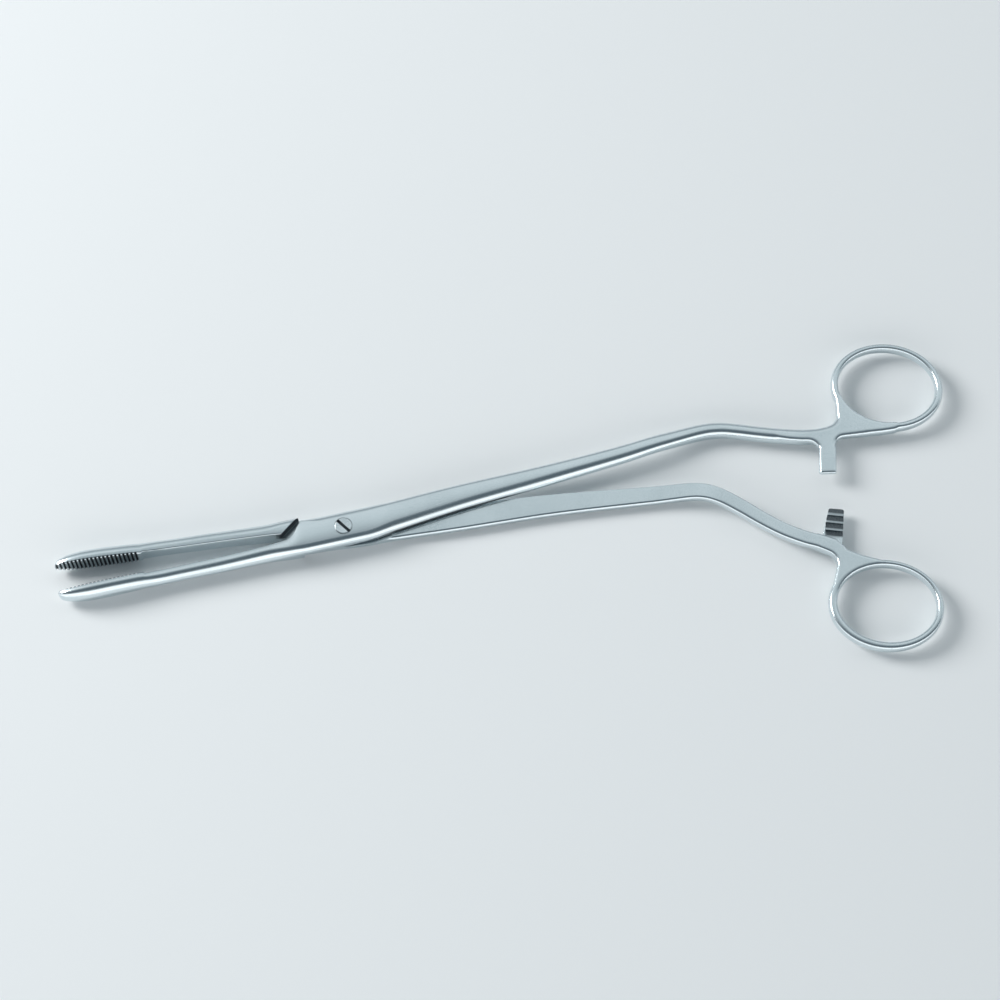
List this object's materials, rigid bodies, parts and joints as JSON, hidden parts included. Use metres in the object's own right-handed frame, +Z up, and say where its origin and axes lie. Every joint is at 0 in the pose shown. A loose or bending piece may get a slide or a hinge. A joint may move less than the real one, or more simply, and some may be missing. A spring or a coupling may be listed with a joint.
{
  "type": "sponge holding forceps",
  "caption": "Long scissor-action forceps with serrated oval jaws, a screw lap joint, cranked shanks, a ratchet and finger rings.",
  "frame": {"origin": "on the pivot's axis at the joint's underside, which is the screw's lower end face", "axes": "+X from the pivot towards the finger rings, along the line that halves the jaws' opening; +Z up through the screw head; +Y towards the front half's ring"},
  "size_m": [0.2675, 0.0971, 0.007],
  "materials": {
    "forged_steel": "satin",
    "screw_steel": "satin"
  },
  "bodies": {
    "rear": {"rear_half": "forged_steel", "pivot_screw": "screw_steel"},
    "front": {"front_half": "forged_steel"}
  },
  "joints": [
    {"name": "pivot", "type": "hinge", "parent": "rear", "child": "front", "pos_m": [0, 0, 0.0035], "axis": [0, 0, 1], "range_deg": [-5.14, 25]}
  ]
}
